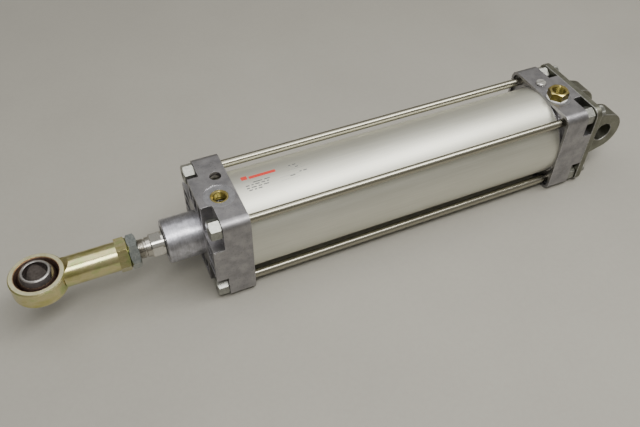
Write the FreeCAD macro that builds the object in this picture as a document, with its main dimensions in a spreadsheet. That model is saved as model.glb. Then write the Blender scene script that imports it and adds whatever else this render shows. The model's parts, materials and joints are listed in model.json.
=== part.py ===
"""Double-acting tie-rod pneumatic cylinder, 125 mm bore, with a spherical rod eye and a narrow
rear clevis.

Frame: millimetres, +Z up.  The origin is the centre of the rear clevis bore.  +X runs along the
cylinder axis to the rod eye and +Y across it, along the clevis bore.  The air ports are on top.
"""
import FreeCAD, Part
import math
import os
import re
import Sketcher

Vector = FreeCAD.Vector
Rotation = FreeCAD.Rotation

DIMENSIONS = [
    # overall
    ("bore", 125.0), ("stroke", 430.0), ("zero_stroke_length", 160.0), ("clevis_reach", 50.0),
    # end covers, both castings
    ("cover_side", 140.0), ("cover_length", 52.0), ("corner_round", 13.0), ("rim", 4.5),
    ("relief_depth", 5.0), ("collar_dia", 137.6), ("tie_rod_spacing", 110.0), ("tie_rod_dia", 12.0),
    ("nut_pocket_start", 28.5), ("nut_pocket_depth", 15.5), ("barrel_seat_depth", 6.0),
    ("spigot_length", 6.0), ("seal_groove_dia", 117.8), ("rib", 3.5), ("cavity_inner", 38.0),
    ("cavity_outer", 63.5), ("cavity_half", 24.5), ("cavity_depth", 13.5), ("web_half", 8.0),
    # rod side boss, its bearing and seals
    ("boss_dia", 60.0), ("boss_length", 48.0), ("boss_edge", 1.2), ("bearing_dia", 38.0),
    ("bearing_start", 40.0), ("bearing_end", 80.0), ("rod_seal_dia", 42.0), ("rod_seal_end", 89.0),
    ("wiper_dia", 44.0),
    # cushion chambers, seals and spears
    ("chamber_dia", 44.0), ("chamber_depth", 36.0), ("cushion_groove_dia", 54.0),
    ("cushion_groove_start", 4.0), ("cushion_groove_end", 12.0), ("spear_dia", 40.0),
    ("spear_length", 34.0),
    # barrel, piston
    ("barrel_wall", 4.0), ("piston_gap", 1.0), ("piston_clearance", 0.4), ("seal_width", 8.0),
    ("seal_root_dia", 108.0), ("wear_ring_width", 12.0), ("wear_root_dia", 119.0),
    ("magnet_outer_dia", 114.0), ("magnet_inner_dia", 92.0), ("magnet_width", 8.0),
    # piston rod, locknut
    ("rod_dia", 32.0), ("rod_shoulder", 67.0), ("rod_thread_dia", 27.0), ("rod_thread_length", 54.0),
    ("rod_flats", 28.0), ("rod_flats_length", 15.0), ("rod_neck_length", 6.0),
    ("rod_relief", 1.6), ("piston_thread_dia", 24.0),
    ("locknut_flats", 41.0), ("locknut_height", 13.5),
    # spherical rod eye
    ("eye_reach", 113.0), ("eye_head_dia", 70.0), ("eye_head_width", 25.0), ("eye_bore", 30.0),
    ("ball_dia", 50.8), ("ball_width", 37.0), ("liner_dia", 57.0), ("liner_race", 11.0),
    ("eye_shank_dia", 39.0),
    ("eye_collar_flats", 41.0), ("eye_collar_length", 14.0), ("eye_thread_depth", 51.0),
    ("eye_thread_grip", 25.0),
    ("eye_head_edge", 1.6),
    # rear clevis and its bolts
    ("clevis_plate", 10.0), ("lug_radius", 33.0), ("lug_base_half", 46.0), ("lug_gap", 37.0),
    ("lug_span", 97.0), ("clevis_bore", 30.0), ("pilot_dia", 60.0), ("pilot_height", 4.0),
    ("nut_flats", 24.0), ("nut_shank_dia", 18.0), ("nut_shank_length", 12.0),
    ("tapped_dia", 10.2), ("thread_grip", 7.0), ("bolt_head_dia", 18.0), ("bolt_head", 12.0),
    ("bolt_socket_flats", 10.0), ("bolt_socket", 6.0),
    ("bolt_length", 25.0),
    # ports and cushion screws
    ("port_offset", 16.0), ("front_port_reach", 23.0), ("rear_port_reach", 17.0), ("port_dia", 21.0),
    ("port_depth", 16.0), ("port_passage", 15.0), ("port_spotface_dia", 41.0), ("port_spotface", 0.8),
    ("bush_bore", 15.0), ("bush_rim_dia", 24.0), ("bush_rim", 2.0), ("adaptor_flats", 27.0),
    ("adaptor_height", 12.0), ("adaptor_bore", 18.7),
    ("washer_dia", 31.0), ("washer_thickness", 2.0), ("needle_offset", 21.0),
    ("front_needle_reach", 16.0), ("rear_needle_reach", 15.0), ("needle_head_dia", 15.0),
    ("needle_head_length", 7.0), ("needle_dia", 9.0), ("needle_seat_dia", 4.0),
    ("needle_pocket_depth", 12.0), ("needle_stem_depth", 32.0), ("needle_lift", 4.0),
    # clearances
    ("seat_gap", 0.05), ("free_gap", 0.3),
]
NAMES = {name for name, value in DIMENSIONS}

# Stations along the axis: the mounting face and the barrel side of each cover.
REAR_FACE = "clevis_reach"
REAR_SEAT = "(clevis_reach + cover_length)"
FRONT_FACE = "(clevis_reach + zero_stroke_length + stroke)"
FRONT_SEAT = "(clevis_reach + zero_stroke_length + stroke - cover_length)"
PISTON_REAR = "(clevis_reach + cover_length + spigot_length + piston_gap)"
PISTON_LENGTH = "(zero_stroke_length - 2 * cover_length - 2 * spigot_length - 2 * piston_gap)"
SHOULDER = f"({FRONT_FACE} + rod_shoulder)"
EYE_END = f"({SHOULDER} + rod_thread_length - eye_thread_grip)"
ROD_TIP = f"({SHOULDER} + rod_thread_length)"
LOCKNUT_START = f"({EYE_END} - locknut_height)"
EYE_CENTRE = f"({EYE_END} + eye_reach)"

doc = FreeCAD.newDocument("pneumatic_cylinder")
nodes = []


# ---------------------------------------------------------------- document helpers

def make_sheet():
    sheet = doc.addObject("Spreadsheet::Sheet", "Dims")
    for row, (name, value) in enumerate(DIMENSIONS, start=1):
        sheet.set(f"A{row}", name)
        sheet.set(f"B{row}", str(value))
        sheet.setAlias(f"B{row}", name)
    doc.recompute()
    return sheet


def bound(expression):
    """The same expression with each dimension's name pointing at its cell."""
    def cell(match):
        word = match.group()
        return "Dims." + word if word in NAMES else word
    return re.sub(r"[a-z_]+", cell, expression)


def value_of(expression):
    """What an expression of dimensions comes to now."""
    result = sheet.evalExpression(bound(expression))
    return getattr(result, "Value", result)


def bind(thing, **expressions):
    for name, expression in expressions.items():
        thing.setExpression(name, bound(expression))


def place(thing, x="0", y="0", z="0", turn=None):
    """Put a sub-part at bound coordinates, turned first if need be."""
    if turn is not None:
        thing.Placement = FreeCAD.Placement(Vector(), turn)
    for axis, expression in (("x", x), ("y", y), ("z", z)):
        if expression != "0":
            thing.setExpression("Placement.Base." + axis, bound(expression))


def keep(thing, label):
    """Name a finished sub-part and list it for writing out."""
    thing.Label = label
    nodes.append(thing)
    return thing


def new_body(label):
    return doc.addObject("PartDesign::Body", label + "_body")


def new_sketch(body, plane, offset=None):
    """An empty sketch on one of the body's own origin planes, shifted along its normal."""
    sketch = body.newObject("Sketcher::SketchObject", body.Name + "_sketch")
    support = [item for item in body.Origin.OriginFeatures if item.Role == plane][0]
    sketch.AttachmentSupport = [(support, "")]
    sketch.MapMode = "FlatFace"
    if offset:
        sketch.setExpression("AttachmentOffset.Base.z", bound(offset))
    return sketch


def pin_point(sketch, geometry, end, across, up):
    """Tie one point of a sketch to bound coordinates."""
    for kind, expression, axis in (("DistanceX", across, -2), ("DistanceY", up, -1)):
        distance = value_of(expression)
        if abs(distance) < 1e-9:
            sketch.addConstraint(Sketcher.Constraint("PointOnObject", geometry, end, axis))
            continue
        rule = Sketcher.Constraint(kind, -1, 1, geometry, end, distance)
        number = sketch.addConstraint(rule)
        sketch.setExpression(f"Constraints[{number}]", bound(expression))


def draw_polygon(sketch, corners):
    """A closed outline through bound corners."""
    points = [Vector(value_of(across), value_of(up), 0) for across, up in corners]
    first = sketch.GeometryCount
    count = len(points)
    for index, point in enumerate(points):
        sketch.addGeometry(Part.LineSegment(point, points[(index + 1) % count]), False)
    for index in range(count):
        following = first + (index + 1) % count
        sketch.addConstraint(Sketcher.Constraint("Coincident", first + index, 2, following, 1))
    for index, (across, up) in enumerate(corners):
        pin_point(sketch, first + index, 1, across, up)


def draw_circle(sketch, across, up, diameter):
    centre = Vector(value_of(across), value_of(up), 0)
    radius = value_of(diameter) / 2
    index = sketch.addGeometry(Part.Circle(centre, Vector(0, 0, 1), radius), False)
    pin_point(sketch, index, 3, across, up)
    number = sketch.addConstraint(Sketcher.Constraint("Diameter", index, 2 * radius))
    sketch.setExpression(f"Constraints[{number}]", bound(diameter))


def draw_rounded_square(sketch, half, radius):
    """A square centred on the origin with rounded corners."""
    flat = f"({half} - {radius})"
    size, curve = value_of(half), value_of(radius)
    straight = size - curve
    first = sketch.GeometryCount
    for quarter in range(4):
        turn = Rotation(Vector(0, 0, 1), 90 * quarter)
        start = turn.multVec(Vector(size, -straight, 0))
        end = turn.multVec(Vector(size, straight, 0))
        centre = turn.multVec(Vector(straight, straight, 0))
        sketch.addGeometry(Part.LineSegment(start, end), False)
        circle = Part.Circle(centre, Vector(0, 0, 1), curve)
        arc = Part.ArcOfCircle(circle, math.radians(90 * quarter), math.radians(90 * quarter + 90))
        sketch.addGeometry(arc, False)
    for quarter in range(4):
        line, arc = first + 2 * quarter, first + 2 * quarter + 1
        following = first + (2 * quarter + 2) % 8
        sketch.addConstraint(Sketcher.Constraint("Coincident", line, 2, arc, 1))
        sketch.addConstraint(Sketcher.Constraint("Coincident", arc, 2, following, 1))
    corners = [(half, flat), (f"-{flat}", half), (f"-{half}", f"-{flat}"), (flat, f"-{half}")]
    starts = [(half, f"-{flat}"), (flat, half), (f"-{half}", flat), (f"-{flat}", f"-{half}")]
    for quarter in range(4):
        line, arc = first + 2 * quarter, first + 2 * quarter + 1
        pin_point(sketch, line, 1, *starts[quarter])
        pin_point(sketch, line, 2, *corners[quarter])
        number = sketch.addConstraint(Sketcher.Constraint("Radius", arc, curve))
        sketch.setExpression(f"Constraints[{number}]", bound(radius))


def hexagon(flats, first_angle=0):
    """Corners of a hexagon from its width across flats."""
    reach = f"{flats} / (2 * cos(30 deg))"
    angles = [first_angle + 60 * step for step in range(6)]
    return [(f"{reach} * cos({angle} deg)", f"{reach} * sin({angle} deg)") for angle in angles]


def add_feature(body, kind, sketch, length, backwards=False, both_ways=False):
    feature = body.newObject(kind, body.Name + "_feature")
    feature.Profile = sketch
    if both_ways:
        feature.SideType = "Symmetric"
    feature.Reversed = backwards
    bind(feature, Length=length)
    return feature


def pad(body, sketch, length, **options):
    return add_feature(body, "PartDesign::Pad", sketch, length, **options)


def pocket(body, sketch, length, **options):
    return add_feature(body, "PartDesign::Pocket", sketch, length, **options)


def turn_profile(body, kind, plane, corners, axis):
    """Revolve a bound outline, as material or as a cut, about an axis of its sketch."""
    sketch = new_sketch(body, plane)
    draw_polygon(sketch, corners)
    feature = body.newObject(kind, body.Name + "_feature")
    feature.Profile = sketch
    feature.ReferenceAxis = (sketch, [axis])
    feature.Angle = 360
    return feature


def turned(label, corners, upright=False):
    """A body of revolution from (station, radius) corners, about X, or about Z when upright."""
    body = new_body(label)
    if upright:
        swapped = [(radius, station) for station, radius in corners]
        turn_profile(body, "PartDesign::Revolution", "XZ_Plane", swapped, "V_Axis")
    else:
        turn_profile(body, "PartDesign::Revolution", "XY_Plane", corners, "H_Axis")
    return body


def ring_corners(start, end, inner, outer):
    """Profile of a plain ring between two stations and two radii."""
    return [(start, inner), (end, inner), (end, outer), (start, outer)]


def bevel_corners(body, flats, station, inwards):
    """Turn the corners off one end of a hexagon whose axis is X."""
    edge = f"({flats} / 2 - 0.3)"
    reach = f"({flats} / 2 / cos(30 deg) + 1)"
    corners = [(station, edge), (f"{station} {inwards} 0.55 * ({reach} - {edge})", reach),
               (station, reach)]
    return turn_profile(body, "PartDesign::Groove", "XY_Plane", corners, "H_Axis")


def corner_points():
    """The four tie rod centres as bound (y, z) coordinates with their names."""
    half = "tie_rod_spacing / 2"
    return {
        "top_left": (half, half),
        "top_right": (f"-{half}", half),
        "bottom_left": (half, f"-{half}"),
        "bottom_right": (f"-{half}", f"-{half}"),
    }


def corner_group(label, make_one, station):
    """One body at each corner of the tie rod square, kept together as one sub-part."""
    members = []
    for corner, (y, z) in corner_points().items():
        member = make_one(f"{label}_{corner}")
        place(member, station, y, z)
        members.append(member)
    group = doc.addObject("Part::Compound", label + "_group")
    group.Links = members
    return keep(group, label)


# ---------------------------------------------------------------- end covers

def cover_casting(body):
    """Square block, hollowed behind its rim on the barrel side, with a spigot for the barrel."""
    half = "(cover_side / 2)"
    rim = new_sketch(body, "YZ_Plane")
    draw_rounded_square(rim, half, "corner_round")
    draw_rounded_square(rim, f"({half} - rim)", "(corner_round - rim)")
    pad(body, rim, "relief_depth")
    block = new_sketch(body, "YZ_Plane", "relief_depth")
    draw_rounded_square(block, half, "corner_round")
    pad(body, block, "cover_length - relief_depth")
    collar = new_sketch(body, "YZ_Plane")
    draw_circle(collar, "0", "0", "collar_dia")
    pad(body, collar, "relief_depth")
    spigot = new_sketch(body, "YZ_Plane")
    draw_circle(spigot, "0", "0", "bore - 4 * seat_gap")
    pad(body, spigot, "spigot_length", backwards=True)


def barrel_seat(body):
    """Annular groove for the end of the barrel, and the sealing groove round the spigot."""
    seat = new_sketch(body, "YZ_Plane")
    draw_circle(seat, "0", "0", "bore - 4 * seat_gap")
    draw_circle(seat, "0", "0", "bore + 2 * barrel_wall + 2 * seat_gap")
    pocket(body, seat, "barrel_seat_depth", backwards=True)
    corners = ring_corners("-4.5", "-0.5", "seal_groove_dia / 2", "bore / 2 + 1")
    turn_profile(body, "PartDesign::Groove", "XY_Plane", corners, "H_Axis")


def tie_rod_holes(body):
    """Four through holes with square nut pockets cut from the mounting face."""
    holes = new_sketch(body, "YZ_Plane")
    sockets = new_sketch(body, "YZ_Plane", "cover_length - nut_pocket_depth")
    corners = new_sketch(body, "YZ_Plane", "cover_length")
    for y, z in corner_points().values():
        draw_circle(holes, y, z, "tie_rod_dia + 2 * free_gap")
        draw_circle(sockets, y, z, "nut_shank_dia + 2 * free_gap")
    for side in ("", "-"):
        for level in ("", "-"):
            near_y, far_y = f"{side}nut_pocket_start", f"{side}(cover_side / 2 + 5)"
            near_z, far_z = f"{level}nut_pocket_start", f"{level}(cover_side / 2 + 5)"
            square = [(near_y, near_z), (far_y, near_z), (far_y, far_z), (near_y, far_z)]
            draw_polygon(corners, square)
    pocket(body, holes, "cover_length", backwards=True)
    pocket(body, corners, "nut_pocket_depth")
    pocket(body, sockets, "nut_shank_length + free_gap")


def face_cavities(body):
    """Die-cast hollows in the mounting face, three to a side, with ribs between them."""
    sketch = new_sketch(body, "YZ_Plane", "cover_length")
    spans = [("-web_half", "web_half"), ("(web_half + rib)", "cavity_half"),
             ("-cavity_half", "-(web_half + rib)")]
    for sign in ("", "-"):
        near, far = f"{sign}cavity_inner", f"{sign}cavity_outer"
        for low, high in spans:
            draw_polygon(sketch, [(low, near), (high, near), (high, far), (low, far)])
            draw_polygon(sketch, [(near, low), (near, high), (far, high), (far, low)])
    pocket(body, sketch, "cavity_depth")


def top_hole(body, reach, offset, diameter, depth, start="0"):
    """A round hole down from the top face; reach is from the barrel side of the cover."""
    sketch = new_sketch(body, "XY_Plane", f"cover_side / 2 - {start}")
    draw_circle(sketch, reach, offset, diameter)
    pocket(body, sketch, depth)


def port_and_needle_holes(body, port_reach, port_y, needle_reach, needle_y):
    top_hole(body, port_reach, port_y, "port_spotface_dia", "port_spotface")
    top_hole(body, port_reach, port_y, "port_dia", "port_depth")
    top_hole(body, port_reach, port_y, "port_passage", "cover_side / 2 - chamber_dia / 4")
    top_hole(body, needle_reach, needle_y, "needle_head_dia + 2 * free_gap", "needle_pocket_depth")
    top_hole(body, needle_reach, needle_y, "needle_dia + 2 * free_gap", "needle_stem_depth")
    top_hole(body, needle_reach, needle_y, "needle_seat_dia", "cover_side / 2 - 3")


def chamber_profile(closed_at):
    """Cushion chamber, with the groove of its seal near the mouth."""
    return [("-spigot_length - 1", "0"), ("-spigot_length - 1", "chamber_dia / 2"),
            ("cushion_groove_start", "chamber_dia / 2"),
            ("cushion_groove_start", "cushion_groove_dia / 2"),
            ("cushion_groove_end", "cushion_groove_dia / 2"),
            ("cushion_groove_end", "chamber_dia / 2"), (closed_at, "chamber_dia / 2")]


def front_cover():
    body = new_body("front_cover")
    cover_casting(body)
    barrel_seat(body)
    tie_rod_holes(body)
    face_cavities(body)
    port_and_needle_holes(body, "front_port_reach", "port_offset",
                          "front_needle_reach", "-needle_offset")
    top_hole(body, "front_port_reach", "port_offset", "bush_rim_dia", "port_spotface + bush_rim")
    bore = chamber_profile("chamber_depth")
    bore += [("chamber_depth", "rod_dia / 2 + 1"), ("bearing_start", "rod_dia / 2 + 1"),
             ("bearing_start", "boss_dia / 2 + seat_gap"),
             ("cover_length + 1", "boss_dia / 2 + seat_gap"),
             ("cover_length + 1", "0")]
    turn_profile(body, "PartDesign::Groove", "XY_Plane", bore, "H_Axis")
    place(body, FRONT_SEAT)
    keep(body, "front_cover")


def rear_cover():
    body = new_body("rear_cover")
    cover_casting(body)
    pilot = new_sketch(body, "YZ_Plane", "cover_length")
    draw_circle(pilot, "0", "0", "pilot_dia")
    pad(body, pilot, "pilot_height")
    barrel_seat(body)
    tie_rod_holes(body)
    face_cavities(body)
    port_and_needle_holes(body, "rear_port_reach", "-port_offset",
                          "rear_needle_reach", "needle_offset")
    chamber = chamber_profile("chamber_depth")
    chamber.append(("chamber_depth", "0"))
    turn_profile(body, "PartDesign::Groove", "XY_Plane", chamber, "H_Axis")
    place(body, REAR_SEAT, turn=Rotation(Vector(0, 0, 1), 180))
    keep(body, "rear_cover")


# ---------------------------------------------------------------- barrel and tie rods

def barrel():
    start = f"{REAR_SEAT} - barrel_seat_depth + seat_gap"
    end = f"{FRONT_SEAT} + barrel_seat_depth - seat_gap"
    corners = ring_corners(start, end, "bore / 2", "bore / 2 + barrel_wall")
    keep(turned("barrel", corners), "barrel")


def tie_rods():
    start = f"{REAR_FACE} + nut_pocket_depth + nut_shank_length - thread_grip"
    end = f"{FRONT_FACE} - nut_pocket_depth - nut_shank_length + thread_grip"
    radius = "tie_rod_dia / 2"
    for corner, (y, z) in corner_points().items():
        corners = [(start, "0"), (start, f"{radius} - 1"), (f"{start} + 1", radius),
                   (f"{end} - 1", radius), (end, f"{radius} - 1"), (end, "0")]
        rod = turned(f"tie_rod_{corner}", corners)
        place(rod, "0", y, z)
        keep(rod, f"tie_rod_{corner}")


def tie_rod_nut(name, outwards, bolt_hole):
    """Hexagon with a round shank that enters the cover; the station is the mounting face."""
    inwards = "-" if outwards == "+" else "+"
    body = new_body(name)
    hexagon_start = f"{inwards}nut_pocket_depth"
    head = new_sketch(body, "YZ_Plane", hexagon_start)
    draw_polygon(head, hexagon("nut_flats", 30))
    pad(body, head, "nut_pocket_depth - free_gap", backwards=outwards == "-")
    shank = new_sketch(body, "YZ_Plane", hexagon_start)
    draw_circle(shank, "0", "0", "nut_shank_dia")
    pad(body, shank, "nut_shank_length", backwards=outwards == "+")
    bevel_corners(body, "nut_flats", f"{outwards}(-free_gap)", inwards)
    tapped = new_sketch(body, "YZ_Plane")
    draw_circle(tapped, "0", "0", bolt_hole)
    pocket(body, tapped, "nut_pocket_depth + nut_shank_length", backwards=outwards == "-")
    grip = new_sketch(body, "YZ_Plane", f"{inwards}(nut_pocket_depth + nut_shank_length)")
    draw_circle(grip, "0", "0", "tie_rod_dia + 3 * seat_gap")
    pocket(body, grip, "thread_grip + 1", backwards=outwards == "+")
    return body


def tie_rod_nuts():
    """The front nuts are free for mounting bolts; the rear ones hold the clevis bolts."""
    corner_group("tie_rod_nuts_front",
                 lambda name: tie_rod_nut(name, "+", "tapped_dia"), FRONT_FACE)
    corner_group("tie_rod_nuts_rear",
                 lambda name: tie_rod_nut(name, "-", "tie_rod_dia + 2 * seat_gap"), REAR_FACE)


# ---------------------------------------------------------------- seals and bearing in the covers

def o_ring(label, station, centre_radius, section_radius, y="0", z="0", upright=False):
    ring = doc.addObject("Part::Torus", label + "_torus")
    bind(ring, Radius1=centre_radius, Radius2=section_radius)
    turn = None if upright else Rotation(Vector(0, 1, 0), 90)
    place(ring, station, y, z, turn)
    keep(ring, label)


def barrel_seals():
    middle = "(seal_groove_dia / 2 + bore / 2) / 2"
    section = "(bore - seal_groove_dia) / 4 - seat_gap"
    o_ring("barrel_seal_front", f"{FRONT_SEAT} - 2.5", middle, section)
    o_ring("barrel_seal_rear", f"{REAR_SEAT} + 2.5", middle, section)


def rod_guide_housing():
    """The boss: a turned sleeve seated in the front cover; it holds the rod's guide."""
    start, end = f"{FRONT_SEAT} + bearing_start", f"{FRONT_SEAT} + cover_length + boss_length"
    outer = "boss_dia / 2"
    bearing_end, seal_end = f"{FRONT_SEAT} + bearing_end", f"{FRONT_SEAT} + rod_seal_end"
    corners = [(start, "bearing_dia / 2"), (bearing_end, "bearing_dia / 2"),
               (bearing_end, "rod_seal_dia / 2"), (seal_end, "rod_seal_dia / 2"),
               (seal_end, "wiper_dia / 2"), (end, "wiper_dia / 2"), (end, f"{outer} - boss_edge"),
               (f"{end} - boss_edge", outer), (start, outer)]
    keep(turned("rod_guide_housing", corners), "rod_guide_housing")


def rod_guide():
    """Bearing bush, rod seal and wiper, in line inside the boss."""
    station = FRONT_SEAT
    inner = "rod_dia / 2 + seat_gap"
    bush = ring_corners(f"{station} + bearing_start + 0.1", f"{station} + bearing_end - 0.1",
                        inner, "bearing_dia / 2 - seat_gap")
    keep(turned("rod_bearing", bush), "rod_bearing")
    start, end = f"{station} + bearing_end + 0.1", f"{station} + rod_seal_end - 0.1"
    outer = "rod_seal_dia / 2 - seat_gap"
    relieved = "rod_dia / 2 + 1.6"
    seal = [(start, inner), (f"{start} + 2.5", relieved), (end, relieved), (end, outer),
            (start, outer)]
    keep(turned("rod_seal", seal), "rod_seal")
    start, end = f"{station} + rod_seal_end + 0.1", f"{station} + cover_length + boss_length"
    outer = "wiper_dia / 2 - seat_gap"
    wiper = [(start, relieved), (f"{end} - 4", relieved), (f"{end} - 0.6", inner),
             (f"{end} + 1.4", inner), (f"{end} - 1", "rod_dia / 2 + 4"), (f"{end} - 1", outer),
             (start, outer)]
    keep(turned("rod_wiper", wiper), "rod_wiper")


def cushion_seal(label, station, direction):
    """Floating ring round the cushion spear, with a lip towards the chamber."""
    start = f"{station} {direction} (cushion_groove_start + 0.2)"
    end = f"{station} {direction} (cushion_groove_end - 0.2)"
    lip = f"{station} {direction} (cushion_groove_start + 3)"
    outer = "cushion_groove_dia / 2 - free_gap"
    inner = "spear_dia / 2 + seat_gap"
    corners = [(start, f"{inner} + 1.2"), (lip, inner), (end, inner), (end, outer), (start, outer)]
    keep(turned(label, corners), label)


# ---------------------------------------------------------------- piston, rod and cushion spears

def piston():
    """Two piston halves clamped between the rod shoulder and the rear spear, round a magnet."""
    outer = "bore / 2 - piston_clearance"
    middle = f"({PISTON_REAR} + {PISTON_LENGTH} / 2)"
    far = f"({PISTON_REAR} + {PISTON_LENGTH})"
    hub = "piston_thread_dia / 2 + seat_gap"
    for label, face, inwards in (("piston_half_rear", PISTON_REAR, "+"),
                                 ("piston_half_front", far, "-")):
        groove = f"({face} {inwards} 4)"
        outwards = "-" if inwards == "+" else "+"
        band = f"({middle} {outwards} wear_ring_width / 2)"
        disc = f"({middle} {outwards} magnet_width / 2)"
        corners = [(face, hub), (face, outer), (groove, outer), (groove, "seal_root_dia / 2"),
                   (f"{groove} {inwards} seal_width", "seal_root_dia / 2"),
                   (f"{groove} {inwards} seal_width", outer), (band, outer),
                   (band, "wear_root_dia / 2"), (middle, "wear_root_dia / 2"),
                   (middle, "magnet_outer_dia / 2"), (disc, "magnet_outer_dia / 2"),
                   (disc, "magnet_inner_dia / 2"), (middle, "magnet_inner_dia / 2"), (middle, hub)]
        keep(turned(label, corners), label)
        start = f"({groove} {inwards} 0.15)"
        end = f"({groove} {inwards} (seal_width - 0.15))"
        lip = "bore / 2 - 2 * seat_gap"
        root = "seal_root_dia / 2 + 0.1"
        seal = [(start, root), (end, root), (end, "bore / 2 - 1.5"),
                (f"{start} {inwards} 3", "bore / 2 - 1.5"), (f"{start} {inwards} 1.5", lip),
                (start, lip)]
        side = label.split("_")[-1]
        keep(turned(f"piston_seal_{side}", seal), f"piston_seal_{side}")
    half_ring = "(wear_ring_width / 2 - 0.1)"
    wear = ring_corners(f"{middle} - {half_ring}", f"{middle} + {half_ring}",
                        "wear_root_dia / 2 + 0.1", "bore / 2 - 2 * seat_gap")
    keep(turned("piston_wear_ring", wear), "piston_wear_ring")
    half_magnet = "(magnet_width / 2 - 0.1)"
    magnet = ring_corners(f"{middle} - {half_magnet}", f"{middle} + {half_magnet}",
                          "magnet_inner_dia / 2 + 0.1", "magnet_outer_dia / 2 - 0.1")
    keep(turned("magnet_ring", magnet), "magnet_ring")


def piston_rod():
    """Rod with a stepped end for the piston, spanner flats and a threaded end for the rod eye."""
    tail = f"({PISTON_REAR} - spear_length + 12)"
    far = f"({PISTON_REAR} + {PISTON_LENGTH})"
    groove = f"({PISTON_REAR} + {PISTON_LENGTH} / 4)"
    neck = "piston_thread_dia / 2"
    thread = "rod_thread_dia / 2"
    neck_end = f"({SHOULDER} + rod_neck_length)"
    corners = [(tail, "0"), (tail, f"{neck} - 1.2"), (f"{tail} + 1.2", neck),
               (f"{groove} - 1.5", neck), (f"{groove} - 1.5", f"{neck} - 2"),
               (f"{groove} + 1.5", f"{neck} - 2"), (f"{groove} + 1.5", neck), (far, neck),
               (far, "rod_dia / 2"), (f"{SHOULDER} - 1.2", "rod_dia / 2"),
               (SHOULDER, "rod_dia / 2 - 1.2"), (SHOULDER, thread), (neck_end, thread),
               (neck_end, f"{thread} - rod_relief"),
               (f"({neck_end} + rod_relief)", f"{thread} - rod_relief"),
               (f"({neck_end} + rod_relief)", thread),
               (f"{ROD_TIP} - 1.5", thread), (ROD_TIP, f"{thread} - 1.5"), (ROD_TIP, "0")]
    body = turned("piston_rod", corners)
    flats = new_sketch(body, "YZ_Plane", f"{SHOULDER} + 0.1")
    for half in ("rod_flats / 2", "(rod_dia / 2 + 1)"):
        draw_polygon(flats, [(half, half), (f"-{half}", half), (f"-{half}", f"-{half}"),
                             (half, f"-{half}")])
    pocket(body, flats, "rod_flats_length")
    keep(body, "piston_rod")
    o_ring("piston_inner_seal", groove, f"{neck} - 1", "1 - seat_gap")


def cushion_spears():
    far = f"({PISTON_REAR} + {PISTON_LENGTH})"
    outer = "spear_dia / 2"
    front = [(far, "rod_dia / 2 + seat_gap"), (far, outer), (f"{far} + spear_length - 5", outer),
             (f"{far} + spear_length", f"{outer} - 1.5"),
             (f"{far} + spear_length", "rod_dia / 2 + seat_gap")]
    keep(turned("cushion_spear_front", front), "cushion_spear_front")
    thread = "piston_thread_dia / 2 + seat_gap"
    tip = f"({PISTON_REAR} - spear_length)"
    rear = [(PISTON_REAR, thread), (PISTON_REAR, outer), (f"{tip} + 5", outer),
            (tip, f"{outer} - 1.5"), (tip, "7.5"), (f"{tip} + 9", "7.5"), (f"{tip} + 11", thread)]
    keep(turned("cushion_spear_rear", rear), "cushion_spear_rear")


def rod_locknut():
    body = new_body("rod_locknut")
    outline = new_sketch(body, "YZ_Plane")
    draw_polygon(outline, hexagon("locknut_flats", 4))
    pad(body, outline, "locknut_height - 0.1")
    bevel_corners(body, "locknut_flats", "0", "+")
    bevel_corners(body, "locknut_flats", "(locknut_height - 0.1)", "-")
    hole = new_sketch(body, "YZ_Plane")
    draw_circle(hole, "0", "0", "rod_thread_dia + 2 * seat_gap")
    pocket(body, hole, "locknut_height", backwards=True)
    place(body, LOCKNUT_START)
    keep(body, "rod_locknut")


# ---------------------------------------------------------------- spherical rod eye

def rod_end_housing():
    """Forged eye: a ring round an upright bore, on a tapped shank with a hexagon collar."""
    body = new_body("rod_end_housing")
    collar = new_sketch(body, "YZ_Plane", "-eye_reach")
    draw_polygon(collar, hexagon("eye_collar_flats"))
    pad(body, collar, "eye_collar_length")
    bevel_corners(body, "eye_collar_flats", "-eye_reach", "+")
    shank = "eye_shank_dia / 2"
    inside_ring = "-(eye_head_dia / 2 - 5)"
    corners = [("-eye_reach + 1", "0"), ("-eye_reach + 1", f"{shank} - 1"),
               ("-eye_reach + eye_collar_length + 0.2", shank), (inside_ring, shank),
               (inside_ring, "0")]
    turn_profile(body, "PartDesign::Revolution", "XY_Plane", corners, "H_Axis")
    half = "eye_head_width / 2"
    outer = "eye_head_dia / 2"
    bevel = "eye_head_edge"
    head = [("liner_dia / 2 - 2", f"-{half}"), (f"{outer} - {bevel}", f"-{half}"),
            (outer, f"-{half} + {bevel}"), (outer, f"{half} - {bevel}"), (f"{outer} - {bevel}", half),
            ("liner_dia / 2 - 2", half)]
    turn_profile(body, "PartDesign::Revolution", "XZ_Plane", head, "V_Axis")
    rise = f"({shank} - {half} + 1)"
    for side in ("", "-"):
        face, top = f"{side}({half})", f"{side}({half} + {rise})"
        cone = [("0", face), (f"{outer} - {bevel}", face),
                (f"{outer} - {bevel} + {rise}", top), ("0", top)]
        turn_profile(body, "PartDesign::Groove", "XZ_Plane", cone, "V_Axis")
    bore = new_sketch(body, "XY_Plane")
    draw_circle(bore, "0", "0", "liner_dia + 2 * seat_gap")
    pocket(body, bore, "eye_head_width + 20", both_ways=True)
    thread = [("-eye_reach - 1", "0"), ("-eye_reach - 1", "rod_thread_dia / 2 + seat_gap"),
              ("-eye_reach + eye_thread_depth", "rod_thread_dia / 2 + seat_gap"),
              ("-eye_reach + eye_thread_depth + 7", "0")]
    turn_profile(body, "PartDesign::Groove", "XY_Plane", thread, "H_Axis")
    place(body, EYE_CENTRE)
    keep(body, "rod_end_housing")


def upright_cylinder(name, diameter, height):
    """A cylinder about Z at the eye, centred on the axis."""
    solid = doc.addObject("Part::Cylinder", name)
    bind(solid, Radius=f"({diameter}) / 2", Height=height)
    place(solid, EYE_CENTRE, "0", f"-({height}) / 2")
    return solid


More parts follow.
